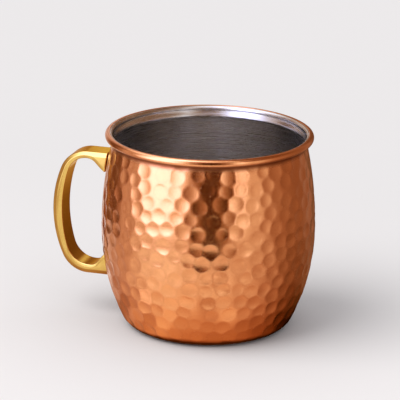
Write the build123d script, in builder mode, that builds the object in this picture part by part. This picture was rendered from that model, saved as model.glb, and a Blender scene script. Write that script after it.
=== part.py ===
from build123d import *
from math import asin, atan2, cos, degrees, radians, sin, sqrt
import os

# A barrel-shaped mug: a copper shell with a rolled rim, a steel liner nested in it, and a cast brass
# strap handle brazed to the wall by two flared feet.
# Frame: the mug stands on Z = 0 with its axis on Z, and the handle points along -X. Millimetres.

# Barrel, outside of the copper
mug_height = 89.0
belly_radius = 48.0
belly_height = 45.0
lower_side_radius = 92.0
upper_side_radius = 175.0
base_corner_radius = 7.5
neck_height = 84.0
shell_thickness = 0.8

# Rolled rim
bead_radius = 1.7
bead_ring_radius = 44.9
bead_turn = 300.0

# Liner
liner_thickness = 0.5
lip_thickness = 0.3
lip_turn = 73.0

# Handle: a D of three tangent arcs outside, and three more around the finger opening
strap_width = 11.5
handle_reach = 72.1
handle_top = 75.7
handle_bottom = 18.4
grip_height = 47.7
grip_radius = 52.5
corner_radius = 13.0
opening_reach = 67.7
opening_top = 72.6
opening_bottom = 22.4
opening_grip_radius = 61.0
opening_upper_radius = 9.0
opening_lower_radius = 10.8
upper_foot_tip = 66.6
lower_foot_tip = 28.3
foot_blend_radius = 4.5
edge_bevel_on_side = 1.2
edge_bevel_on_width = 1.0

# Brazed joints
braze_gap = 0.7
braze_inset = 1.2

# Worked out from the dimensions above
lower_side_centre = (belly_radius - lower_side_radius, belly_height)
upper_side_centre = (belly_radius - upper_side_radius, belly_height)
corner_rise = belly_height - base_corner_radius
base_flat_radius = lower_side_centre[0] + sqrt(
    (lower_side_radius - base_corner_radius) ** 2 - corner_rise**2
)
corner_angle = degrees(atan2(corner_rise, base_flat_radius - lower_side_centre[0]))
neck_angle = degrees(asin((neck_height - belly_height) / upper_side_radius))
neck_direction = (-sin(radians(neck_angle)), cos(radians(neck_angle)))
bead_height = mug_height - bead_radius
bead_inside = bead_ring_radius - bead_radius
bead_centre = (bead_ring_radius, bead_height)
lip_seat_radius = bead_radius - lip_thickness
cup_inset = shell_thickness + liner_thickness


def wall_radius(height):
    """Radius of the outside of the shell at a height between the base corner and the neck."""
    centre_x = lower_side_centre[0] if height < belly_height else upper_side_centre[0]
    side_radius = lower_side_radius if height < belly_height else upper_side_radius
    return centre_x + sqrt(side_radius**2 - (height - belly_height) ** 2)


def draw_wall(inset):
    """Half section of the barrel from the axis to the neck, a given distance inside the copper."""
    Line((0, inset), (base_flat_radius, inset))
    base_corner = (base_flat_radius, base_corner_radius)
    CenterArc(base_corner, base_corner_radius - inset, -90, 90 - corner_angle)
    CenterArc(lower_side_centre, lower_side_radius - inset, -corner_angle, corner_angle)
    return CenterArc(upper_side_centre, upper_side_radius - inset, 0, neck_angle)


def draw_flare(upper_side, ring_radius):
    """Ease from the end of the upper side out to the upright start of the rolled rim."""
    rim_start = (ring_radius, bead_height)
    return Spline(upper_side @ 1, rim_start, tangents=(neck_direction, (0, 1)))


def draw_loop(reach, top, bottom, side_radius, upper_radius, lower_radius):
    """Upper corner, grip and lower corner as tangent arcs; returns where the two arms begin."""
    side_centre = (side_radius - reach, grip_height)
    upper_rise = top - upper_radius - grip_height
    upper_run = sqrt((side_radius - upper_radius) ** 2 - upper_rise**2)
    upper_angle = degrees(atan2(upper_rise, upper_run))
    lower_drop = grip_height - bottom - lower_radius
    lower_run = sqrt((side_radius - lower_radius) ** 2 - lower_drop**2)
    lower_angle = degrees(atan2(lower_drop, lower_run))
    upper_centre = (side_centre[0] - upper_run, top - upper_radius)
    lower_centre = (side_centre[0] - lower_run, bottom + lower_radius)
    upper_corner = CenterArc(upper_centre, upper_radius, 90, 90 - upper_angle)
    CenterArc(side_centre, side_radius, 180 - upper_angle, upper_angle + lower_angle)
    lower_corner = CenterArc(lower_centre, lower_radius, 180 + lower_angle, 90 - lower_angle)
    return upper_corner @ 0, lower_corner @ 1


def foot_point(height):
    """A point on the end of a foot, clear of the wall by the brazing gap."""
    return (-wall_radius(height) - braze_gap, height)


def draw_filler(top, bottom):
    """Side outline of the filler behind a foot, run on into the wall and into the foot."""
    reach_in = braze_gap + braze_inset
    high = top - braze_inset
    low = bottom + braze_inset
    Polyline(
        (-wall_radius(high) - reach_in, high),
        (-wall_radius(low) - reach_in, low),
        (-wall_radius(low) + braze_inset, low),
        (-wall_radius(high) + braze_inset, high),
        close=True,
    )


# Copper shell: one sheet, its top edge rolled outwards until it nearly meets the wall again, and
# stepped down on the inner shoulder of the roll for the lip of the liner
with BuildPart() as copper_shell:
    with BuildSketch(Plane.XZ):
        with BuildLine():
            draw_flare(draw_wall(0), bead_inside + shell_thickness)
            roll_inside = CenterArc(bead_centre, bead_radius - shell_thickness, 180, -bead_turn)
            roll_outside = CenterArc(bead_centre, bead_radius, 180 - lip_turn, lip_turn - bead_turn)
            lip_seat = CenterArc(bead_centre, lip_seat_radius, 180, -lip_turn)
            Line(roll_inside @ 1, roll_outside @ 1)
            Line(lip_seat @ 1, roll_outside @ 0)
            draw_flare(draw_wall(shell_thickness), bead_inside + lip_thickness)
            Line((0, shell_thickness), (0, 0))
        make_face()
    revolve(axis=Axis.Z)

# Steel liner: nests in the shell, and its lip folds over the inner shoulder of the rolled rim
with BuildPart() as steel_liner:
    with BuildSketch(Plane.XZ):
        with BuildLine():
            draw_flare(draw_wall(shell_thickness), bead_inside + lip_thickness)
            lip_under = CenterArc(bead_centre, lip_seat_radius, 180, -lip_turn)
            lip_over = CenterArc(bead_centre, bead_radius, 180, -lip_turn)
            Line(lip_under @ 1, lip_over @ 1)
            draw_flare(draw_wall(cup_inset), bead_inside)
            Line((0, shell_thickness), (0, cup_inset))
        make_face()
    revolve(axis=Axis.Z)

# Brass handle: a strap bent to a D, thickest at the grip, with a flared foot on each arm
with BuildPart() as brass_handle:
    with BuildSketch(Plane.XZ):
        with BuildLine():
            upper_arm, lower_arm = draw_loop(
                handle_reach, handle_top, handle_bottom, grip_radius, corner_radius, corner_radius
            )
            opening_start, opening_end = draw_loop(
                opening_reach,
                opening_top,
                opening_bottom,
                opening_grip_radius,
                opening_upper_radius,
                opening_lower_radius,
            )
            upper_foot = [foot_point(handle_top), foot_point(upper_foot_tip)]
            lower_foot = [foot_point(handle_bottom), foot_point(lower_foot_tip)]
            Polyline(upper_arm, *upper_foot, opening_start)
            Polyline(lower_arm, *lower_foot, opening_end)
        make_face()
        roots = [vertices().sort_by_distance(end)[0] for end in (opening_start, opening_end)]
        fillet(roots, radius=foot_blend_radius)
    extrude(amount=strap_width / 2, both=True)
    for side in (0, -1):
        side_face = brass_handle.faces().filter_by(Axis.Y).sort_by(Axis.Y)[side]
        long_edges = side_face.edges().filter_by_position(
            Axis.X, -handle_reach, -belly_radius - braze_gap
        )
        chamfer(long_edges, edge_bevel_on_side, edge_bevel_on_width, reference=side_face)

# Solid barrel that the brazed joints are cut back to
with BuildPart() as barrel_form:
    with BuildSketch(Plane.XZ):
        with BuildLine():
            neck = draw_wall(0) @ 1
            Polyline(neck, (0, neck.Y), (0, 0))
        make_face()
    revolve(axis=Axis.Z)

# Brazed joints: filler between the straight end of each foot and the round wall
with BuildPart() as upper_braze:
    with BuildSketch(Plane.XZ):
        with BuildLine():
            draw_filler(handle_top, upper_foot_tip)
        make_face()
    extrude(amount=strap_width / 2 - braze_inset, both=True)
    add(barrel_form.part, mode=Mode.SUBTRACT)
    add(brass_handle.part, mode=Mode.SUBTRACT)

with BuildPart() as lower_braze:
    with BuildSketch(Plane.XZ):
        with BuildLine():
            draw_filler(lower_foot_tip, handle_bottom)
        make_face()
    extrude(amount=strap_width / 2 - braze_inset, both=True)
    add(barrel_form.part, mode=Mode.SUBTRACT)
    add(brass_handle.part, mode=Mode.SUBTRACT)

copper_shell.part.label = "copper_shell"
steel_liner.part.label = "steel_liner"
brass_handle.part.label = "brass_handle"
upper_braze.part.label = "upper_braze"
lower_braze.part.label = "lower_braze"

os.makedirs("parts", exist_ok=True)
export_step(copper_shell.part, "parts/copper_shell.step")
export_step(steel_liner.part, "parts/steel_liner.step")
export_step(brass_handle.part, "parts/brass_handle.step")
export_step(upper_braze.part, "parts/upper_braze.step")
export_step(lower_braze.part, "parts/lower_braze.step")
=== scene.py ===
import math

import bpy
import numpy as np
from mathutils import Matrix, Vector


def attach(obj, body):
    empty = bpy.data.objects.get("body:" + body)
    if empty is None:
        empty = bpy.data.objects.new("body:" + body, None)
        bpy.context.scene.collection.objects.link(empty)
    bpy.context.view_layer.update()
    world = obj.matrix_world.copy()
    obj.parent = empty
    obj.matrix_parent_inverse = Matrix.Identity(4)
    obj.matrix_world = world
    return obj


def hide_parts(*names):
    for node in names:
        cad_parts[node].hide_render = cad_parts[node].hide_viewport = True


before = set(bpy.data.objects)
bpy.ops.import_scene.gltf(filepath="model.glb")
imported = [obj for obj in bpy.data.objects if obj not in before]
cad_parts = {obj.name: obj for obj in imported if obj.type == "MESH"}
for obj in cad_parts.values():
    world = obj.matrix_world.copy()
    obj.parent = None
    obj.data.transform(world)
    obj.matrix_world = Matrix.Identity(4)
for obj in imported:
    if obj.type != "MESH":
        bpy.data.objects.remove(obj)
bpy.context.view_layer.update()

MM = 0.001

# ---- Driving dimensions of the mug, in millimetres, as in its CAD source
# The wall is two arcs that meet upright at the belly, then a flare up to the rolled rim
BELLY_HEIGHT = 45.0
BELLY_RADIUS = 48.0
LOWER_SIDE = 92.0
UPPER_SIDE = 175.0
BASE_CORNER = 7.5
NECK_HEIGHT = 84.0
FLARE_REACH = 1.15
SHELL = 0.8
BEAD = 1.7
BEAD_RING = 44.9
BEAD_HEIGHT = 87.3
BEAD_TURN = 300.0
LIP = 0.3
LIP_TURN = 73.0
LINER = 0.5
HANDLE_WIDTH = 11.5
FOOT_GAP = 0.7

LOW_CENTRE = BELLY_RADIUS - LOWER_SIDE
HIGH_CENTRE = BELLY_RADIUS - UPPER_SIDE
CORNER_RISE = BELLY_HEIGHT - BASE_CORNER
BASE_FLAT = LOW_CENTRE + math.sqrt((LOWER_SIDE - BASE_CORNER) ** 2 - CORNER_RISE**2)
CORNER_ANGLE = math.atan2(CORNER_RISE, BASE_FLAT - LOW_CENTRE)
NECK_ANGLE = math.asin((NECK_HEIGHT - BELLY_HEIGHT) / UPPER_SIDE)

# ---- Camera: angles in radians, lengths in millimetres
AZIMUTH = math.radians(16.8)
PITCH = math.radians(17.558)
ROLL = -0.0142
DISTANCE = 1500.0
LENS = 300.4
SENSOR_WIDTH = 36.0
AIM_HEIGHT = 44.5
AIM_LEFT = 3.73
AIM_UP = 12.08
# Nearest and farthest that the camera sees, in metres
CLIP_START = 0.01
CLIP_END = 30.0


def camera_axes():
    """Where the camera's forward, right and up point, with its small roll."""
    across, away = math.sin(AZIMUTH), math.cos(AZIMUTH)
    forward = Vector((-across * math.cos(PITCH), away * math.cos(PITCH), -math.sin(PITCH)))
    right = Vector((away, across, 0.0))
    up = right.cross(forward)
    rolled_right = math.cos(ROLL) * right - math.sin(ROLL) * up
    rolled_up = math.sin(ROLL) * right + math.cos(ROLL) * up
    return forward, rolled_right, rolled_up


def make_camera():
    """Long lens above the mug and right of square, aimed a little above and left of its middle."""
    forward, right, up = camera_axes()
    target = Vector((0, 0, AIM_HEIGHT))
    place = target - forward * DISTANCE
    aim = target - right * AIM_LEFT + up * AIM_UP
    look = (aim - place).normalized()
    side = look.cross(up).normalized()
    top = side.cross(look)
    turn = Matrix((side, top, -look)).transposed()
    data = bpy.data.cameras.new("camera")
    data.lens = LENS
    data.sensor_width = SENSOR_WIDTH
    data.clip_start = CLIP_START
    data.clip_end = CLIP_END
    camera = bpy.data.objects.new("camera", data)
    camera.matrix_world = Matrix.Translation(place * MM) @ turn.to_4x4()
    bpy.context.scene.collection.objects.link(camera)
    bpy.context.scene.camera = camera


def toward(side_angle, rise):
    """Direction away from the mug, turned right of the camera and raised, in degrees."""
    turn, lift = math.radians(side_angle), math.radians(rise)
    front = Vector((math.sin(AZIMUTH), -math.cos(AZIMUTH), 0))
    right = Vector((math.cos(AZIMUTH), math.sin(AZIMUTH), 0))
    level = front * math.cos(turn) + right * math.sin(turn)
    return level * math.cos(lift) + Vector((0, 0, math.sin(lift)))


# ---- Node helper
class Graph:
    """A node tree with short calls for the nodes that the materials use."""

    def __init__(self, tree):
        self.tree = tree
        tree.nodes.clear()

    def node(self, kind, **values):
        made = self.tree.nodes.new(kind)
        for key, value in values.items():
            setattr(made, key, value)
        return made

    def link(self, output, socket):
        self.tree.links.new(output, socket)

    def put(self, value, socket):
        """Link an output to the socket, or set a plain number or colour on it."""
        if isinstance(value, bpy.types.NodeSocket):
            self.link(value, socket)
        else:
            socket.default_value = value

    def math(self, operation, first, second):
        made = self.node("ShaderNodeMath", operation=operation)
        self.put(first, made.inputs[0])
        self.put(second, made.inputs[1])
        return made.outputs[0]

    def vector(self, operation, first, second):
        made = self.node("ShaderNodeVectorMath", operation=operation)
        self.put(first, made.inputs[0])
        self.put(second, made.inputs[1])
        return made.outputs["Value" if operation == "DOT_PRODUCT" else "Vector"]

    def length(self, vector):
        made = self.node("ShaderNodeVectorMath", operation="LENGTH")
        self.link(vector, made.inputs[0])
        return made.outputs["Value"]

    def attribute(self, name, output="Fac"):
        return self.node("ShaderNodeAttribute", attribute_name=name).outputs[output]

    def ramp(self, value, low, high, out_low=0.0, out_high=1.0, smooth=True):
        """Takes low..high to out_low..out_high, and holds the end values outside."""
        made = self.node("ShaderNodeMapRange")
        made.interpolation_type = "SMOOTHSTEP" if smooth else "LINEAR"
        made.clamp = True
        self.put(value, made.inputs["Value"])
        for name, number in (("From Min", low), ("From Max", high)):
            made.inputs[name].default_value = number
        made.inputs["To Min"].default_value = out_low
        made.inputs["To Max"].default_value = out_high
        return made.outputs["Result"]

    def noise(self, vector, scale, detail=3.0, rough=0.5, twist=0.0):
        made = self.node("ShaderNodeTexNoise")
        self.put(vector, made.inputs["Vector"])
        made.inputs["Scale"].default_value = scale
        made.inputs["Detail"].default_value = detail
        made.inputs["Roughness"].default_value = rough
        made.inputs["Distortion"].default_value = twist
        return made.outputs["Fac"]

    def mix(self, factor, first, second):
        """A colour between two: the first where the factor is 0, the second where it is 1."""
        made = self.node("ShaderNodeMix", data_type="RGBA")
        self.put(factor, made.inputs["Factor"])
        self.put(first, made.inputs["A"])
        self.put(second, made.inputs["B"])
        return next(output for output in made.outputs if output.type == "RGBA")

    def bump(self, height, distance, strength, normal=None):
        made = self.node("ShaderNodeBump")
        made.inputs["Strength"].default_value = strength
        made.inputs["Distance"].default_value = distance
        self.put(height, made.inputs["Height"])
        if normal is not None:
            self.link(normal, made.inputs["Normal"])
        return made.outputs["Normal"]


def new_material(name):
    """A material, its graph, its shader, and the place on the object in metres."""
    material = bpy.data.materials.new(name)
    material.use_nodes = True
    graph = Graph(material.node_tree)
    shader = graph.node("ShaderNodeBsdfPrincipled")
    out = graph.node("ShaderNodeOutputMaterial")
    graph.link(shader.outputs["BSDF"], out.inputs["Surface"])
    place = graph.node("ShaderNodeTexCoord").outputs["Object"]
    return material, graph, shader, place


def rgba(red, green, blue):
    return (red, green, blue, 1.0)


# ---- Materials: colours are linear, noise scales are per metre, bump heights are metres
COPPER_PALE = rgba(0.83, 0.355, 0.134)
COPPER_DEEP = rgba(0.78, 0.306, 0.107)
COPPER_CREASE = rgba(0.52, 0.15, 0.05)
COPPER_SPECK = rgba(0.45, 0.13, 0.05)
# Painted shade for the crevice under the rolled rim: the next colour, and the tint, roughness and
# lacquer for it below
COPPER_RIM_SHADE = rgba(0.16, 0.035, 0.008)
CREASE_TINT = 0.12
SPECK_TINT = 0.35
RIM_SHADE_TINT = 0.92
RIM_SHADE_ROUGHNESS = 0.25
CREASE_ROUGHNESS = 0.05
LACQUER = 0.6
RIM_SHADE_LACQUER = 0.08
BRASS_PALE = rgba(0.71, 0.465, 0.125)
BRASS_DEEP = rgba(0.65, 0.41, 0.098)
BRASS_EDGE = rgba(0.95, 0.72, 0.34)
STEEL_PALE = rgba(0.66, 0.63, 0.575)
STEEL_DEEP = rgba(0.58, 0.55, 0.50)
# How far the steel's turning rings wander from true circles
STEEL_DRIFT = 0.025
BRAZE_PALE = rgba(0.20, 0.09, 0.03)
BRAZE_DEEP = rgba(0.09, 0.035, 0.012)


def copper_material():
    """Lacquered copper: clouded tone, fine specks, darker creases, and painted shade in the crevice
    under the rolled rim.
    """
    material, graph, shader, place = new_material("hammered_copper")
    crease = graph.attribute("crease")
    painted_rim_shade = graph.attribute("painted_rim_shade")
    cloud = graph.noise(place, 55.0, 4.0, 0.6, 0.4)
    fine = graph.noise(place, 900.0, 3.0, 0.6)
    speck = graph.noise(place, 2600.0, 2.0, 0.5)
    tone = graph.mix(graph.ramp(cloud, 0.3, 0.7), COPPER_PALE, COPPER_DEEP)
    tone = graph.mix(graph.math("MULTIPLY", crease, CREASE_TINT), tone, COPPER_CREASE)
    tone = graph.mix(graph.ramp(speck, 0.66, 0.74, 0.0, SPECK_TINT), tone, COPPER_SPECK)
    # Painted shade in the crevice under the rolled rim
    tone = graph.mix(graph.math("MULTIPLY", painted_rim_shade, RIM_SHADE_TINT), tone, COPPER_RIM_SHADE)
    graph.put(tone, shader.inputs["Base Color"])
    shader.inputs["Metallic"].default_value = 1.0
    rough = graph.ramp(fine, 0.25, 0.75, 0.15, 0.24)
    rough = graph.math("ADD", rough, graph.math("MULTIPLY", painted_rim_shade, RIM_SHADE_ROUGHNESS))
    rough = graph.math("ADD", rough, graph.math("MULTIPLY", crease, CREASE_ROUGHNESS))
    graph.put(rough, shader.inputs["Roughness"])
    graph.put(graph.ramp(painted_rim_shade, 0.0, 1.0, LACQUER, RIM_SHADE_LACQUER), shader.inputs["Coat Weight"])
    shader.inputs["Coat Roughness"].default_value = 0.22
    shader.inputs["Coat IOR"].default_value = 1.5
    graph.put(graph.bump(fine, 0.00004, 0.5), shader.inputs["Normal"])
    return material


def brass_material():
    """Polished cast brass: clouded tone, and a fine grain drawn out round the strap."""
    material, graph, shader, place = new_material("cast_brass")
    cloud = graph.noise(place, 70.0, 3.0, 0.55)
    stretched = graph.vector("MULTIPLY", place, (1.0, 7.0, 1.0))
    grain = graph.noise(stretched, 420.0, 4.0, 0.6)
    tone = graph.mix(graph.ramp(cloud, 0.3, 0.7), BRASS_PALE, BRASS_DEEP)
    graph.put(tone, shader.inputs["Base Color"])
    shader.inputs["Metallic"].default_value = 1.0
    graph.put(graph.ramp(grain, 0.3, 0.7, 0.10, 0.17), shader.inputs["Roughness"])
    shader.inputs["Specular Tint"].default_value = BRASS_EDGE
    shader.inputs["Coat Weight"].default_value = 0.06
    shader.inputs["Coat Roughness"].default_value = 0.15
    graph.put(graph.bump(grain, 0.00003, 0.4), shader.inputs["Normal"])
    return material


def steel_material():
    """Satin steel: fine turning rings that follow the distance from the axis and the height."""
    material, graph, shader, place = new_material("satin_steel")
    flat = graph.vector("MULTIPLY", place, (1.0, 1.0, 0.0))
    split = graph.node("ShaderNodeSeparateXYZ")
    graph.link(place, split.inputs[0])
    along = graph.node("ShaderNodeCombineXYZ")
    graph.link(graph.length(flat), along.inputs[0])
    graph.link(split.outputs["Z"], along.inputs[2])
    drift = graph.vector("MULTIPLY", flat, (STEEL_DRIFT, STEEL_DRIFT, 0.0))
    spun = graph.vector("ADD", along.outputs[0], drift)
    rings = graph.noise(spun, 2400.0, 3.0, 0.6)
    bands = graph.noise(spun, 260.0, 2.0, 0.5)
    cloud = graph.noise(place, 60.0, 3.0, 0.5)
    tone = graph.mix(graph.ramp(cloud, 0.3, 0.7), STEEL_PALE, STEEL_DEEP)
    graph.put(tone, shader.inputs["Base Color"])
    shader.inputs["Metallic"].default_value = 1.0
    graph.put(graph.ramp(rings, 0.3, 0.7, 0.20, 0.34), shader.inputs["Roughness"])
    wavy = graph.bump(bands, 0.0002, 0.25)
    graph.put(graph.bump(rings, 0.00003, 0.5, wavy), shader.inputs["Normal"])
    return material


def braze_material():
    """Brazing filler, coloured dark."""
    material, graph, shader, place = new_material("dark_braze")
    cloud = graph.noise(place, 300.0, 3.0, 0.6)
    tone = graph.mix(graph.ramp(cloud, 0.35, 0.7), BRAZE_PALE, BRAZE_DEEP)
    graph.put(tone, shader.inputs["Base Color"])
    shader.inputs["Metallic"].default_value = 0.85
    graph.put(graph.ramp(cloud, 0.3, 0.7, 0.38, 0.55), shader.inputs["Roughness"])
    graph.put(graph.bump(cloud, 0.0001, 0.5), shader.inputs["Normal"])
    return material


# ---- Mesh helpers
def object_from(name, points, faces, material):
    mesh = bpy.data.meshes.new(name)
    mesh.from_pydata([tuple(p) for p in points], [], faces)
    mesh.update()
    mesh.polygons.foreach_set("use_smooth", [True] * len(mesh.polygons))
    mesh.materials.append(material)
    obj = bpy.data.objects.new(name, mesh)
    bpy.context.scene.collection.objects.link(obj)
    return obj


def ring_faces(rows, columns):
    """Quads between rings of points that follow each other, round and closed."""
    faces = []
    for row in range(rows - 1):
        here, above = row * columns, (row + 1) * columns
        for column in range(columns):
            after = (column + 1) % columns
            faces.append((here + column, here + after, above + after, above + column))
    return faces


def closed_lathe(name, rings, first_height, last_height, material):
    """Skin over rings of points round the axis, closed by a point on the axis at both ends."""
    rows, columns = rings.shape[:2]
    points = rings.reshape(-1, 3)
    faces = ring_faces(rows, columns)
    first, last = len(points), len(points) + 1
    points = np.concatenate([points, [[0, 0, first_height * MM], [0, 0, last_height * MM]]])
    end = (rows - 1) * columns
    for column in range(columns):
        after = (column + 1) % columns
        faces.append((first, after, column))
        faces.append((last, end + column, end + after))
    return object_from(name, points, faces, material)


def around_axis(radius, height, columns):
    """Rings of points in metres: one row for each radius and height, spread evenly round the axis."""
    angles = np.linspace(0, 2 * math.pi, columns, endpoint=False)
    return np.stack([radius * np.cos(angles) * MM, radius * np.sin(angles) * MM, height * MM], 2)


def arc(centre, radius, start, end, count):
    """Points along an arc in the half section, angles in radians, both ends included."""
    angles = np.linspace(start, end, count + 1)
    return np.stack([centre[0] + radius * np.cos(angles), centre[1] + radius * np.sin(angles)], 1)


def bezier(start, lead, follow, end, count):
    """Points along a cubic curve that leaves start towards lead and comes to end from follow."""
    t = np.linspace(0, 1, count + 1)[:, None]
    start, lead, follow, end = (np.array(p, float) for p in (start, lead, follow, end))
    near = (1 - t) ** 3 * start + 3 * (1 - t) ** 2 * t * lead
    return near + 3 * (1 - t) * t**2 * follow + t**3 * end


def join_lines(*parts):
    """One line from several, each of which starts where the one before it ends."""
    rows = [parts[0]]
    for part in parts[1:]:
        rows.append(part[1:])
    return np.concatenate(rows)


def flare(inset, rim_radius, count):
    """From the neck out to the upright start of the rolled rim."""
    radius = UPPER_SIDE - inset
    out, up = math.cos(NECK_ANGLE), math.sin(NECK_ANGLE)
    start = np.array([HIGH_CENTRE + radius * out, BELLY_HEIGHT + radius * up])
    end = np.array([rim_radius, BEAD_HEIGHT])
    lead = start + FLARE_REACH * np.array([-up, out])
    return bezier(start, lead, end - (0, FLARE_REACH), end, count)


def wall_radius(height):
    """Outer radius of the plain wall between the base corner and the neck."""
    if height < BELLY_HEIGHT:
        return LOW_CENTRE + math.sqrt(LOWER_SIDE**2 - (height - BELLY_HEIGHT) ** 2)
    return HIGH_CENTRE + math.sqrt(UPPER_SIDE**2 - (height - BELLY_HEIGHT) ** 2)


# ---- Copper shell
# Points round the shell, and the distance between the rings of its wall
SHELL_COLUMNS = 440
WALL_STEP = 0.56
# Hammer marks on the unrolled wall: spacing along and between rows, and how far each one is shaken
MARK_PITCH = 7.4
MARK_ROW = 6.4
MARK_START = 3.6
MARK_SHAKE_TURN = 0.4
MARK_SHAKE_ALONG = 2.6
PLACE_SEED = 41
STRIKE_SEED = 7
# How marks that are too close push each other away
SPREAD_ROUNDS = 6
SPREAD_GAP = 0.92 * MARK_PITCH
SPREAD_SHARE = 0.25
# The lowest mark's length along the wall, and how far past its top a row and a mark may lie
MARK_LOWEST = 3.0
ROW_PAST_TOP = 1.0
MARK_PAST_TOP = 1.5
# Size of a mark: its reach, its depth at the plain reach, and how far its bowl may lean
MARK_REACH = (2.95, 3.8)
MARK_DEPTH = (0.37, 0.51)
PLAIN_REACH = 4.0
MARK_LEAN = 0.034
# Marks get this much deeper towards the foot, below this length along the wall, over this span
LOW_GAIN = 0.22
LOW_START = 46.0
LOW_SPAN = 26.0
# A mark starts from this share of the depth that it finds along its rim
LEVEL_SHARE = 0.6
LEVEL_WIDTH = 0.5
# How far past its reach a mark still presses, the width of its edge, and the width of its crease
MARK_OVERRUN = 0.22
MARK_BLEND = 0.55
CREASE_WIDTH = 0.42
# How far past its reach the patch of rows and columns goes that a mark changes
ROW_MARGIN = 0.5
COLUMN_MARGIN = 1.5
DEEPEST = 0.70
# The hammering fades out under the rim and at the base corner
TOP_PLAIN = 1.2
TOP_FADE = 1.6
BASE_PLAIN = 3.4
BASE_FADE = 4.5
BASE_FADE_POWER = 1.3
# Painted shade of the crevice under the rolled rim: on the wall above this height, and on the underside
# of the bead from this angle, in degrees
RIM_SHADE_HEIGHT = 82.6
RIM_SHADE_RISE = 1.8
RIM_SHADE_ANGLE = -20.0
RIM_SHADE_SWEEP = 34.0
# Points over the outside of the bead, and the radii of the rings in the flat base, below and above
ROLL_STEPS = 20
BASE_RINGS = (12.0, 24.0)
INNER_BASE_RING = 14.0
# Keeps a mark from pushing itself, and a sum from being divided by nothing
FAR_OFF = 100
TINY = 1e-6


def smooth_step(t):
    """Eases a ramp of 0 to 1 at both ends."""
    return t * t * (3 - 2 * t)


def half_turn(angle):
    """The same angle between minus and plus half a turn."""
    return (angle + math.pi) % (2 * math.pi) - math.pi


def place_marks(lengths, radii):
    """Centres of the hammer marks on the unrolled wall: staggered rows, shaken, then spread evenly."""
    rng = np.random.default_rng(PLACE_SEED)
    angle, along = [], []
    row = 0
    place = MARK_START
    while place < lengths[-1] + ROW_PAST_TOP:
        radius = float(np.interp(place, lengths, radii))
        count = round(2 * math.pi * radius / MARK_PITCH)
        phase = (row % 2) * 0.5
        shake = rng.uniform(-MARK_SHAKE_TURN, MARK_SHAKE_TURN, count)
        angle.append(2 * math.pi * (np.arange(count) + phase + shake) / count)
        along.append(place + rng.uniform(-MARK_SHAKE_ALONG, MARK_SHAKE_ALONG, count))
        place += MARK_ROW
        row += 1
    angle, along = np.concatenate(angle), np.concatenate(along)
    itself = np.eye(len(angle)) * FAR_OFF
    for _ in range(SPREAD_ROUNDS):
        radius = np.interp(along, lengths, radii)
        across = half_turn(angle[:, None] - angle[None, :]) * radius[:, None]
        up = along[:, None] - along[None, :]
        gap = np.hypot(across, up) + itself
        push = np.clip(SPREAD_GAP - gap, 0, None) / gap * SPREAD_SHARE
        angle = angle + (across * push).sum(1) / radius
        along = np.clip(along + (up * push).sum(1), MARK_LOWEST, lengths[-1] + MARK_PAST_TOP)
    return angle, along


def dent_field(lengths, radii):
    """Depth of the hammering over the wall, rows by columns, and how near an edge each point is.

    The marks are struck one after another. Each one presses its own shallow bowl over what is there."""
    angles = np.linspace(0, 2 * math.pi, SHELL_COLUMNS, endpoint=False)
    rng = np.random.default_rng(STRIKE_SEED)
    depth = np.zeros((len(lengths), SHELL_COLUMNS))
    edge = np.zeros((len(lengths), SHELL_COLUMNS))
    mark_angle, mark_along = place_marks(lengths, radii)
    for i in rng.permutation(len(mark_angle)):
        reach = rng.uniform(*MARK_REACH)
        deep = rng.uniform(*MARK_DEPTH) * (reach / PLAIN_REACH) ** 2
        deep *= 1 + LOW_GAIN * np.clip((LOW_START - mark_along[i]) / LOW_SPAN, 0, 1)
        lean, lean_turn = rng.uniform(0, MARK_LEAN), rng.uniform(0, 2 * math.pi)
        rows = np.where(np.abs(lengths - mark_along[i]) < reach + ROW_MARGIN)[0]
        if not len(rows):
            continue
        turn = half_turn(angles - mark_angle[i])
        radius = float(np.interp(mark_along[i], lengths, radii))
        columns = np.where(np.abs(turn) * radius < reach + COLUMN_MARGIN)[0]
        across = turn[columns][None, :] * radii[rows][:, None]
        up = (lengths[rows] - mark_along[i])[:, None] + 0 * across
        far = np.hypot(across, up)
        patch = np.ix_(rows, columns)
        old = depth[patch]
        rim = np.exp(-(((far - reach) / LEVEL_WIDTH) ** 2))
        level = (old * rim).sum() / max(rim.sum(), TINY)
        bowl = level * LEVEL_SHARE + deep * (1 - (far / reach) ** 2)
        bowl += lean * (across * math.cos(lean_turn) + up * math.sin(lean_turn))
        inside = smooth_step(np.clip((reach + MARK_OVERRUN - far) / MARK_BLEND, 0, 1))
        depth[patch] = old + (np.maximum(bowl, 0) - old) * inside
        ring = np.exp(-(((far - reach) / CREASE_WIDTH) ** 2))
        edge[patch] = np.maximum(edge[patch] * (1 - inside), ring)
    return np.clip(depth, 0, DEEPEST), edge


def add_layer(mesh, name, values):
    """A number on each point of a closed lathe's rings, and 0 on its two points on the axis."""
    layer = mesh.attributes.new(name, "FLOAT", "POINT")
    layer.data.foreach_set("value", np.concatenate([values.ravel(), [0, 0]]))


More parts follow.
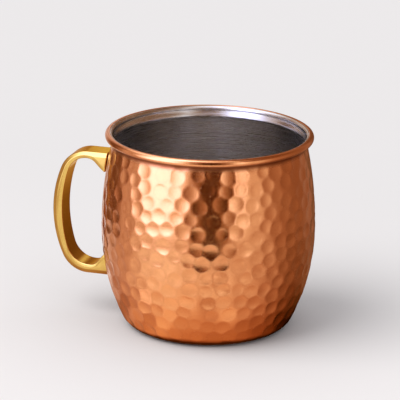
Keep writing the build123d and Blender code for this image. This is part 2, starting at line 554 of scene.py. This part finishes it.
def make_shell(material):
    """The hammered sheet: base, corner, wall, rolled rim, and the plain inside back to the base."""
    lower = LOWER_SIDE * CORNER_ANGLE
    upper = UPPER_SIDE * NECK_ANGLE
    wall = join_lines(
        arc((BASE_FLAT, BASE_CORNER), BASE_CORNER, -math.pi / 2, -CORNER_ANGLE, 12),
        arc((LOW_CENTRE, BELLY_HEIGHT), LOWER_SIDE, -CORNER_ANGLE, 0, round(lower / WALL_STEP)),
        arc((HIGH_CENTRE, BELLY_HEIGHT), UPPER_SIDE, 0, NECK_ANGLE, round(upper / WALL_STEP)),
        flare(0, BEAD_RING - BEAD + SHELL, 6),
    )
    steps = np.linalg.norm(np.diff(wall, axis=0), axis=1)
    lengths = np.concatenate([[0], np.cumsum(steps)])
    tangent = np.gradient(wall, axis=0)
    tangent /= np.linalg.norm(tangent, axis=1)[:, None]
    inward = np.stack([-tangent[:, 1], tangent[:, 0]], 1)
    depth, crest = dent_field(lengths, wall[:, 0])
    top_fade = np.clip((BEAD_HEIGHT - TOP_PLAIN - wall[:, 1]) / TOP_FADE, 0, 1)
    base_fade = np.clip((lengths - BASE_PLAIN) / BASE_FADE, 0, 1)
    fade = (top_fade * base_fade**BASE_FADE_POWER)[:, None]
    depth = depth * fade
    crest = crest * fade

    bead_centre = (BEAD_RING, BEAD_HEIGHT)
    bead_end = math.pi - math.radians(BEAD_TURN)
    lip_end = math.pi - math.radians(LIP_TURN)
    roll_in = arc(bead_centre, BEAD - SHELL, math.pi, bead_end, 6)
    roll_out = arc(bead_centre, BEAD, bead_end, lip_end, ROLL_STEPS)
    lip_seat = arc(bead_centre, BEAD - LIP, lip_end, math.pi, 3)
    inner = join_lines(
        flare(SHELL, BEAD_RING - BEAD + LIP, 2)[::-1],
        arc((HIGH_CENTRE, BELLY_HEIGHT), UPPER_SIDE - SHELL, NECK_ANGLE, 0, 6),
        arc((LOW_CENTRE, BELLY_HEIGHT), LOWER_SIDE - SHELL, 0, -CORNER_ANGLE, 7),
        arc((BASE_FLAT, BASE_CORNER), BASE_CORNER - SHELL, -CORNER_ANGLE, -math.pi / 2, 3),
    )
    base = np.array([[ring, 0.0] for ring in BASE_RINGS])
    last_ring = [[INNER_BASE_RING, SHELL]]
    profile = np.concatenate([base, wall, roll_in[1:], roll_out, lip_seat, inner[1:], last_ring])

    radius = np.repeat(profile[:, 0][:, None], SHELL_COLUMNS, 1)
    height = np.repeat(profile[:, 1][:, None], SHELL_COLUMNS, 1)
    span = slice(len(base), len(base) + len(wall))
    radius[span] += depth * inward[:, 0][:, None]
    height[span] += depth * inward[:, 1][:, None]
    crease = np.zeros_like(radius)
    crease[span] = crest
    # Painted shade: a dark band on the wall under the rolled rim, and on the bead's underside
    painted_rim_shade = np.zeros_like(radius)
    painted_rim_shade[span] = np.clip((wall[:, 1] - RIM_SHADE_HEIGHT) / RIM_SHADE_RISE, 0, 1)[:, None]
    roll_angle = np.degrees(np.linspace(bead_end, lip_end, ROLL_STEPS + 1))
    roll_start = len(base) + len(wall) + len(roll_in) - 1
    underside = np.clip((RIM_SHADE_ANGLE - roll_angle) / RIM_SHADE_SWEEP, 0, 1)
    painted_rim_shade[roll_start:roll_start + ROLL_STEPS + 1] = underside[:, None]
    rings = around_axis(radius, height, SHELL_COLUMNS)
    shell = closed_lathe("hammered_shell", rings, 0.0, SHELL, material)
    add_layer(shell.data, "crease", crease)
    add_layer(shell.data, "painted_rim_shade", painted_rim_shade)
    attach(shell, "root")
    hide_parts("copper_shell")


# ---- Steel liner
# Points round the liner, and the radii of the rings in its flat floor
LINER_COLUMNS = 320
LINER_RINGS = (8.0, 16.0, 24.0)
# The lip's cut edge is eased: angles in radians past its end, and how far it is set back
LIP_EASE_START = 0.07
LIP_EASE_END = 0.01
LIP_EASE = 0.08


def make_liner(material):
    """Spun cup with a lip folded over the inner shoulder of the rolled rim."""
    inset = SHELL + LINER
    bead_centre = (BEAD_RING, BEAD_HEIGHT)
    lip_end = math.pi - math.radians(LIP_TURN)
    inside = join_lines(
        np.array([[ring, inset] for ring in (*LINER_RINGS, BASE_FLAT)]),
        arc((BASE_FLAT, BASE_CORNER), BASE_CORNER - inset, -math.pi / 2, -CORNER_ANGLE, 9),
        arc((LOW_CENTRE, BELLY_HEIGHT), LOWER_SIDE - inset, -CORNER_ANGLE, 0, 16),
        arc((HIGH_CENTRE, BELLY_HEIGHT), UPPER_SIDE - inset, 0, NECK_ANGLE, 16),
        flare(inset, BEAD_RING - BEAD, 8),
        arc(bead_centre, BEAD, math.pi, lip_end + LIP_EASE_START, 9),
        arc(bead_centre, BEAD - LIP_EASE, lip_end + LIP_EASE_END, lip_end, 1),
    )
    outside = join_lines(
        arc(bead_centre, BEAD - LIP, lip_end, math.pi, 4),
        flare(SHELL, BEAD_RING - BEAD + LIP, 3)[::-1],
        arc((HIGH_CENTRE, BELLY_HEIGHT), UPPER_SIDE - SHELL, NECK_ANGLE, 0, 7),
        arc((LOW_CENTRE, BELLY_HEIGHT), LOWER_SIDE - SHELL, 0, -CORNER_ANGLE, 7),
        arc((BASE_FLAT, BASE_CORNER), BASE_CORNER - SHELL, -CORNER_ANGLE, -math.pi / 2, 3),
    )
    profile = np.concatenate([inside, outside])[::-1]
    radius = np.repeat(profile[:, 0][:, None], LINER_COLUMNS, 1)
    height = np.repeat(profile[:, 1][:, None], LINER_COLUMNS, 1)
    rings = around_axis(radius, height, LINER_COLUMNS)
    liner = closed_lathe("spun_liner", rings, SHELL, inset, material)
    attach(liner, "root")
    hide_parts("steel_liner")


# ---- Brass handle
# The two edge lines of the strap, seen from the side, each a D: how far its grip reaches from the
# axis, the heights of its arms, and the radii of its grip and its corners
OUTER_REACH = 72.1
OUTER_TOP = 75.7
OUTER_BOTTOM = 18.4
OUTER_RADII = (52.5, 13.0, 13.0)
INNER_REACH = 67.7
INNER_TOP = 72.6
INNER_BOTTOM = 22.4
INNER_RADII = (61.0, 9.0, 10.8)
GRIP_HEIGHT = 47.7
UPPER_FOOT_TIP = 66.6
LOWER_FOOT_TIP = 28.3
CORNER_STEPS = 22
GRIP_STEPS = 40
ARM_STEPS = 16
# The flared line of a foot: how far it leans along its chord, and how level it runs into the arm
FOOT_LEAN = 0.496
FOOT_RUN = 4.2
# Bevels of the strap, outer and inner along its thickness, then outer and inner across its width
BEVELS = (1.75, 1.6, 0.65, 0.28)
END_BEVELS = (1.6, 1.45, 0.6, 0.25)
END_BEVEL = 0.4
# The most of the thickness that the bevels take, and how the octagon's corners are rounded
BEVEL_SHARE = 0.90
CORNER_EASE = 0.34
EASE_SHARE = 0.42
EASE_POINTS = 5


def loop_points(reach, top, bottom, radii):
    """Upper corner, grip and lower corner of the D, from the upper arm to the lower arm."""
    side_radius, upper_radius, lower_radius = radii
    side_x = side_radius - reach
    rise = top - upper_radius - GRIP_HEIGHT
    run = math.sqrt((side_radius - upper_radius) ** 2 - rise**2)
    drop = GRIP_HEIGHT - bottom - lower_radius
    low_run = math.sqrt((side_radius - lower_radius) ** 2 - drop**2)
    upper_turn = math.pi - math.atan2(rise, run)
    lower_turn = math.pi + math.atan2(drop, low_run)
    upper_centre = (side_x - run, top - upper_radius)
    lower_centre = (side_x - low_run, bottom + lower_radius)
    return join_lines(
        arc(upper_centre, upper_radius, math.pi / 2, upper_turn, CORNER_STEPS),
        arc((side_x, GRIP_HEIGHT), side_radius, upper_turn, lower_turn, GRIP_STEPS),
        arc(lower_centre, lower_radius, lower_turn, 1.5 * math.pi, CORNER_STEPS),
    )


def at_wall(height):
    """Where a foot ends in front of the wall."""
    return np.array([-wall_radius(height) - FOOT_GAP, height])


def foot_line(tip, start):
    """Inner edge of a foot, from its tip to the start of the opening, eased into it."""
    return bezier(tip, tip + (start - tip) * FOOT_LEAN, start + (FOOT_RUN, 0), start, ARM_STEPS)


def section(outer, inner, width, bevels):
    """Ring of points around the strap: an octagon with eased corners, as (x, y, z)."""
    bevel_out, bevel_in, across_out, across_in = bevels
    thick = np.linalg.norm(inner - outer)
    fit = min(1.0, BEVEL_SHARE * thick / (bevel_out + bevel_in))
    first, last = bevel_out * fit, thick - bevel_in * fit
    half = width / 2
    top, low = half - across_out, half - across_in
    corners = [
        (0, -top), (first, -half), (last, -half), (thick, -low),
        (thick, low), (last, half), (first, half), (0, top),
    ]
    ring = []
    count = len(corners)
    for i in range(count):
        here = np.array(corners[i])
        back = np.array(corners[i - 1]) - here
        ahead = np.array(corners[(i + 1) % count]) - here
        back_length, ahead_length = np.linalg.norm(back), np.linalg.norm(ahead)
        cut = min(CORNER_EASE, EASE_SHARE * back_length, EASE_SHARE * ahead_length)
        start = here + back / back_length * cut
        end = here + ahead / ahead_length * cut
        for t in np.linspace(0, 1, EASE_POINTS):
            ring.append((1 - t) ** 2 * start + 2 * t * (1 - t) * here + t**2 * end)
    direction = (inner - outer) / thick
    points = []
    for depth, y in ring:
        x, z = outer + direction * depth
        points.append((x, y, z))
    return points


def end_sections(outer, inner, next_outer, next_inner):
    """The bevelled end of a foot: its flat end, and the full strap a bevel's width further on."""
    ahead_out = (next_outer - outer) / np.linalg.norm(next_outer - outer)
    ahead_in = (next_inner - inner) / np.linalg.norm(next_inner - inner)
    across = (inner - outer) / np.linalg.norm(inner - outer)
    flat_end = section(
        outer + across * END_BEVEL, inner - across * END_BEVEL,
        HANDLE_WIDTH - 2 * END_BEVEL, END_BEVELS,
    )
    full = section(outer + ahead_out * END_BEVEL, inner + ahead_in * END_BEVEL, HANDLE_WIDTH, BEVELS)
    return [flat_end, full]


def make_handle(material):
    """The cast strap: a D with bevelled edges and a flared foot at each end."""
    outer_loop = loop_points(OUTER_REACH, OUTER_TOP, OUTER_BOTTOM, OUTER_RADII)
    inner_loop = loop_points(INNER_REACH, INNER_TOP, INNER_BOTTOM, INNER_RADII)
    outer = join_lines(
        np.linspace(at_wall(OUTER_TOP), outer_loop[0], ARM_STEPS + 1),
        outer_loop,
        np.linspace(outer_loop[-1], at_wall(OUTER_BOTTOM), ARM_STEPS + 1),
    )
    inner = join_lines(
        foot_line(at_wall(UPPER_FOOT_TIP), inner_loop[0]),
        inner_loop,
        foot_line(at_wall(LOWER_FOOT_TIP), inner_loop[-1])[::-1],
    )
    rings = end_sections(outer[0], inner[0], outer[1], inner[1])
    for i in range(1, len(outer) - 1):
        rings.append(section(outer[i], inner[i], HANDLE_WIDTH, BEVELS))
    rings.extend(reversed(end_sections(outer[-1], inner[-1], outer[-2], inner[-2])))
    size = len(rings[0])
    points = [Vector(point) * MM for ring in rings for point in ring]
    faces = [(a, d, c, b) for a, b, c, d in ring_faces(len(rings), size)]
    last = (len(rings) - 1) * size
    faces.append(tuple(range(size)))
    faces.append(tuple(last + column for column in reversed(range(size))))
    handle = object_from("strap_handle", points, faces, material)
    handle.modifiers.new("flats", "WEIGHTED_NORMAL").keep_sharp = True
    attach(handle, "root")
    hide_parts("brass_handle")


# ---- Studio: a light tent and a floor glow that only reflections see, a soft key light and a floor
# Lengths are in millimetres, other than the plain floor's
# Turns round the mug in degrees to the right of the camera, one for each column of both surfaces
TURNS = np.linspace(0, 360, 180, endpoint=False)
# The tent: its radius at the floor, its height, its rings, and the share that it narrows by upwards
TENT_RADIUS = 195.0
TENT_HEIGHT = 520.0
TENT_RINGS = 53
TENT_NARROWING = 0.45
CROWN_RADII = (90.0, 60.0, 30.0, 2.0)
# How bright it is round the mug, higher up, in the panels behind and overhead, where it also tilts
TENT_LEVEL = 0.52
TOP_LEVEL = 0.5
BACK_LEVEL = 0.98
OVERHEAD = 1.15
OVERHEAD_TILT = 1.0
# Panels of the light tent: turn right of the camera, half width, edge softness (degrees), strength
PANELS = (
    (-49, 22, 13, 2.3),
    (31, 6, 6, 1.1),
    (48, 8, 10, 0.45),
    (-92, 4, 5, 0.32),
    (-150, 8, 9, 0.25),
)
# Dark cards of the light tent, as above, with what they leave of the light
CARDS = (
    (2, 11, 7, 0.16),
    (104, 26, 25, 0.62),
    (-116, 12, 11, 0.32),
    (148, 14, 9, 0.4),
    (180, 20, 14, 0.5),
)
# Bright panels behind, as above, but with the heights between which each one shines
BACK_PANELS = ((182, 8, 8, 78, 125), (195, 6, 6, 96, 175))
BACK_EDGE = 24.0
# The dim right side of the upper part: turn, half width, edge softness (degrees), and its dimming
RIGHT_SIDE = (80, 50, 30)
RIGHT_DIMMING = 0.5
# The bright left side and the brighter side overhead, in degrees left of the camera
LEFT_TURN = 100
OVERHEAD_TURN = 60
# The heights at which the tent's lower, middle and top parts meet, how softly they do, and how much
# lower they do on the dim right side and on the bright left side
TENT_FOOT = 10.0
TENT_FOOT_EDGE = 42.0
MIDDLE_HEIGHT = 190.0
MIDDLE_DROP = 60.0
MIDDLE_SHIFT = 0.25
TOP_HEIGHT = 255.0
TOP_DROP = 75.0
PART_EDGE = 90.0
# The most light that the tent's foot gives
TENT_FOOT_LEVEL = 0.8
# The panels and cards of the floor, and how bright it is at the mug's foot and further out. The panel is
# painted light, and the cards and the dimming near the foot are painted shade, in what the mug reflects
# of the floor
FLOOR_LEVEL = 0.86
FLOOR_PANELS = ((-40, 26, 26, 0.22),)
FLOOR_CARDS = ((102, 44, 36, 0.28), (158, 26, 14, 0.3), (-100, 26, 26, 0.7))
FLOOR_NEAR = 0.74
FLOOR_GAIN = 0.34
FLOOR_GAIN_REACH = 15.0
MUG_FOOT_RADIUS = 42.0
# Its rings, near the mug and further out, and how far it lies under the mug, in millimetres
NEAR_RADII = np.linspace(30, 100, 36)
FAR_RADII = np.linspace(105, TENT_RADIUS + 2, 12)
FLOOR_GLOW_DROP = 0.1
# Shades on the floor: turn, half width, edge softness (degrees), depth, reach in millimetres
RIGHT_SHADE = (90, 44, 34, 0.92, 24.0)
LEFT_SHADE = (265, 25, 20, 0.3, 18.0)
# The dark under the mug: its radius, its edge, and what it leaves of the light
UNDER_RADIUS = 36.5
UNDER_EDGE = 3.0
UNDER_LEVEL = 0.08
# Faint waves that keep the floor from being even
WAVES = 14
WAVE_SEED = 11
WAVE_SIZE = (20, 44)
WAVE_DEPTH = 0.045
# How far the copper's colour spreads over the floor, as painted light bounced from the mug, and what it
# takes from green and blue
BLUSH_REACH = 28.0
BLUSH_GREEN = 0.30
BLUSH_BLUE = 0.55
# Both surfaces are neutral at this level, warmer below it and cooler above it
NEUTRAL_LEVEL = 1.1
COOL_SPAN = 1.5
WARM_GREEN = 0.68
COOL_GREEN = 0.05
COOL_BLUE = 0.75
# Light that the mug passes on to the floor gets this share of the tent
BOUNCED_SHARE = 0.3
# Key light: energy, spread in degrees, colour, and its turn and rise from the camera
KEY_ENERGY = 1.74
KEY_SPREAD = 52
KEY_COLOUR = (1.0, 0.985, 0.975)
KEY_FROM = (-66, 52)
AMBIENT = rgba(0.70, 0.69, 0.70)
BACKDROP = rgba(0.83, 0.81, 0.815)
# Floor, in metres: half its side, cells along a side, and how far it lies under the mug
FLOOR_HALF = 14.0
FLOOR_CELLS = 8
FLOOR_DROP = 0.0002
FLOOR_PALE = rgba(0.735, 0.725, 0.728)
FLOOR_CLOUD = rgba(0.75, 0.74, 0.742)
# Painted light: the floor's colour in the pool in front of the mug
FLOOR_PAINTED_LIGHT = rgba(0.83, 0.81, 0.812)
# Painted pool of light: the floor is palest in this direction from the mug, over this span, and plain
# again further away
FRONT_TURN = -20
FRONT_SPAN = (-0.25, 0.16)
FRONT_FADE = (0.30, 1.0)


def soft_step(distance, half, edge):
    """1 within half of the centre, 0 outside, with an edge that soft on both sides of it."""
    return smooth_step(np.clip((half + edge - distance) / (2 * edge), 0, 1))


def turns_from(centre):
    """How far each turn is from the centre, in degrees, the short way round."""
    return np.abs((TURNS - centre + 180) % 360 - 180)


def light_round(base, panels, cards):
    """How bright the studio is at each turn round the mug."""
    level = np.full(len(TURNS), base)
    for centre, half, edge, left in cards:
        level *= 1 + (left - 1) * soft_step(turns_from(centre), half, edge)
    for centre, half, edge, strength in panels:
        level += strength * soft_step(turns_from(centre), half, edge)
    return level


def tinted(value):
    """Low light is warm, as copper lights itself, and the brightest panels are a little cool."""
    warm = np.clip(1 - value / NEUTRAL_LEVEL, 0, 1)
    cool = np.clip((value - NEUTRAL_LEVEL) / COOL_SPAN, 0, 1)
    green = value * (1 - WARM_GREEN * warm + COOL_GREEN * cool)
    blue = value * (1 - warm + COOL_BLUE * cool)
    return (value, green, blue, 1.0)


def glow_material(name):
    """Shines with the colour in the surface's glow layer, and less in light that has bounced."""
    material = bpy.data.materials.new(name)
    material.use_nodes = True
    graph = Graph(material.node_tree)
    shine = graph.node("ShaderNodeEmission")
    graph.link(graph.attribute("glow", "Color"), shine.inputs["Color"])
    bounced = graph.node("ShaderNodeLightPath").outputs["Diffuse Depth"]
    strength = graph.ramp(bounced, 0.0, 1.0, 1.0, BOUNCED_SHARE, smooth=False)
    graph.link(strength, shine.inputs["Strength"])
    out = graph.node("ShaderNodeOutputMaterial")
    graph.link(shine.outputs[0], out.inputs["Surface"])
    material.cycles.emission_sampling = "NONE"
    return material


def glowing(name, rings, levels, blush):
    """A stage surface of rings round the mug axis that only reflections see. rings: (radius, height).

    blush: how much copper colour each ring picks up from the mug, as painted bounced light."""
    turns = np.radians(TURNS) + math.atan2(-math.cos(AZIMUTH), math.sin(AZIMUTH))
    points = []
    for radius, height in rings:
        for turn in turns:
            points.append((radius * math.cos(turn) * MM, radius * math.sin(turn) * MM, height * MM))
    faces = ring_faces(len(rings), len(turns))
    made = object_from(name, points, faces, glow_material(name + "_glow"))
    colours = np.array([tinted(value) for value in levels.ravel()])
    extra = np.repeat(blush, len(turns))
    colours[:, 1] *= 1 - BLUSH_GREEN * extra
    colours[:, 2] *= 1 - BLUSH_BLUE * extra
    layer = made.data.attributes.new("glow", "FLOAT_COLOR", "POINT")
    layer.data.foreach_set("color", colours.astype(np.float32).ravel())
    made.visible_camera = False
    made.visible_diffuse = False
    made.visible_shadow = False
    made.visible_transmission = False
    made.visible_volume_scatter = False


def make_tent():
    """Light tent round the mug: pale, with bright panels and dark cards, and brighter overhead."""
    share = np.linspace(0, 1, TENT_RINGS)
    height = TENT_HEIGHT * share
    rings = list(zip(TENT_RADIUS * (1 - TENT_NARROWING * share * share), height))
    centre, half, edge = RIGHT_SIDE
    right = soft_step(np.abs(TURNS - centre), half, edge)
    left = np.clip(np.cos(np.radians(TURNS + LEFT_TURN)), 0, 1)
    rise = (height[:, None] - MIDDLE_HEIGHT + MIDDLE_DROP * right[None, :]) / PART_EDGE
    rise = smooth_step(np.clip(rise + MIDDLE_SHIFT, 0, 1))
    level = light_round(TENT_LEVEL, PANELS, CARDS)
    foot = np.clip((height[:, None] - TENT_FOOT) / TENT_FOOT_EDGE, 0, 1)
    low = np.minimum(level, TENT_FOOT_LEVEL) * (1 - foot) + level * foot
    tilt = OVERHEAD_TILT * np.cos(np.radians(TURNS + OVERHEAD_TURN))
    above = np.clip((height[:, None] - TOP_HEIGHT + TOP_DROP * left[None, :]) / PART_EDGE, 0, 1)
    middle = TOP_LEVEL * (1 - RIGHT_DIMMING * right)
    top = middle + (OVERHEAD + tilt - middle) * above + np.clip(level - 1, 0, None)
    levels = low * (1 - rise) + top * rise
    for centre, half, edge, start, end in BACK_PANELS:
        tall = np.clip((height - start) / BACK_EDGE, 0, 1)
        tall = tall * np.clip((end + BACK_EDGE - height) / BACK_EDGE, 0, 1)
        shape = soft_step(np.abs(TURNS - centre), half, edge) * tall[:, None]
        levels = np.maximum(levels, BACK_LEVEL * shape)
    crown = [(radius, TENT_HEIGHT) for radius in CROWN_RADII]
    lid = np.array([OVERHEAD + tilt * radius / rings[-1][0] for radius in CROWN_RADII])
    no_blush = np.zeros(len(rings) + len(crown))
    glowing("light_tent", rings + crown, np.concatenate([levels, lid]), no_blush)


def shaded(level, away, shade):
    """The floor's level with one shade on it that fades away from the mug."""
    centre, half, edge, depth, reach = shade
    across = soft_step(np.abs(TURNS - centre), half, edge)
    return level * (1 - depth * np.exp(-away / reach)[:, None] * across[None, :])


def make_floor_glow():
    """What the mug reflects of the floor: dim close to the foot, and in the shade on the right."""
    radius = np.concatenate([NEAR_RADII, FAR_RADII])
    away = np.clip(radius - MUG_FOOT_RADIUS, 0, None)
    near = FLOOR_NEAR + FLOOR_GAIN * (1 - np.exp(-away / FLOOR_GAIN_REACH))
    level = near[:, None] * light_round(FLOOR_LEVEL, FLOOR_PANELS, FLOOR_CARDS)[None, :]
    level = shaded(level, away, RIGHT_SHADE)
    level *= np.clip((radius - UNDER_RADIUS) / UNDER_EDGE, UNDER_LEVEL, 1)[:, None]
    level = shaded(level, away, LEFT_SHADE)
    rng = np.random.default_rng(WAVE_SEED)
    across = radius[:, None] * np.cos(np.radians(TURNS))
    up = radius[:, None] * np.sin(np.radians(TURNS))
    for _ in range(WAVES):
        way = rng.uniform(0, 2 * math.pi)
        size = rng.uniform(*WAVE_SIZE)
        phase = rng.uniform(0, 2 * math.pi)
        wave = (across * math.cos(way) + up * math.sin(way)) * 2 * math.pi / size + phase
        level *= 1 + WAVE_DEPTH * np.sin(wave)
    rings = [(ring, -FLOOR_GLOW_DROP) for ring in radius]
    glowing("floor_glow", rings, level, np.exp(-away / BLUSH_REACH))


def make_world():
    """Even light from all round, and the pale colour that the camera sees past the floor."""
    world = bpy.data.worlds.new("studio")
    world.use_nodes = True
    graph = Graph(world.node_tree)
    plain = graph.node("ShaderNodeBackground")
    seen = graph.node("ShaderNodeLightPath").outputs["Is Camera Ray"]
    graph.link(graph.mix(seen, AMBIENT, BACKDROP), plain.inputs["Color"])
    out = graph.node("ShaderNodeOutputWorld")
    graph.link(plain.outputs[0], out.inputs["Surface"])
    bpy.context.scene.world = world


def make_key_light():
    """One broad soft light from high on the left, which isn't seen in reflections."""
    data = bpy.data.lights.new("key", "SUN")
    data.energy = KEY_ENERGY
    data.angle = math.radians(KEY_SPREAD)
    data.color = KEY_COLOUR
    key = bpy.data.objects.new("key", data)
    key.rotation_mode = "QUATERNION"
    key.rotation_quaternion = (-toward(*KEY_FROM)).to_track_quat("-Z", "Y")
    key.visible_glossy = False
    bpy.context.scene.collection.objects.link(key)


def floor_material():
    """Pale matt floor with a faint cloud, and a painted pool of light that makes it paler in front of
    the mug.
    """
    material, graph, shader, place = new_material("pale_floor")
    cloud = graph.noise(place, 3.0, 2.0, 0.5)
    plain = graph.mix(cloud, FLOOR_PALE, FLOOR_CLOUD)
    # Painted pool of light on the floor in front of the mug
    front = graph.vector("DOT_PRODUCT", place, tuple(toward(FRONT_TURN, 0)))
    close = graph.ramp(graph.length(place), *FRONT_FADE, 1.0, 0.0)
    near = graph.math("MULTIPLY", graph.ramp(front, *FRONT_SPAN), close)
    graph.put(graph.mix(near, plain, FLOOR_PAINTED_LIGHT), shader.inputs["Base Color"])
    shader.inputs["Roughness"].default_value = 0.75
    shader.inputs["Specular IOR Level"].default_value = 0.0
    return material


def make_floor():
    """Wide flat floor just under the mug, which reflections don't see."""
    line = [FLOOR_HALF * (2 * i / FLOOR_CELLS - 1) for i in range(FLOOR_CELLS + 1)]
    points = [(x, y, -FLOOR_DROP) for x in line for y in line]
    faces = []
    for i in range(FLOOR_CELLS):
        for j in range(FLOOR_CELLS):
            here = i * (FLOOR_CELLS + 1) + j
            after = here + FLOOR_CELLS + 1
            faces.append((here, after, after + 1, here + 1))
    floor = object_from("floor", points, faces, floor_material())
    floor.visible_glossy = False


make_camera()
make_shell(copper_material())
make_handle(brass_material())
make_liner(steel_material())
braze = braze_material()
for node in ("upper_braze", "lower_braze"):
    for material_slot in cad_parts[node].material_slots:
        material_slot.material = braze
make_world()
make_key_light()
make_tent()
make_floor_glow()
make_floor()
bpy.context.scene.view_settings.view_transform = "Standard"
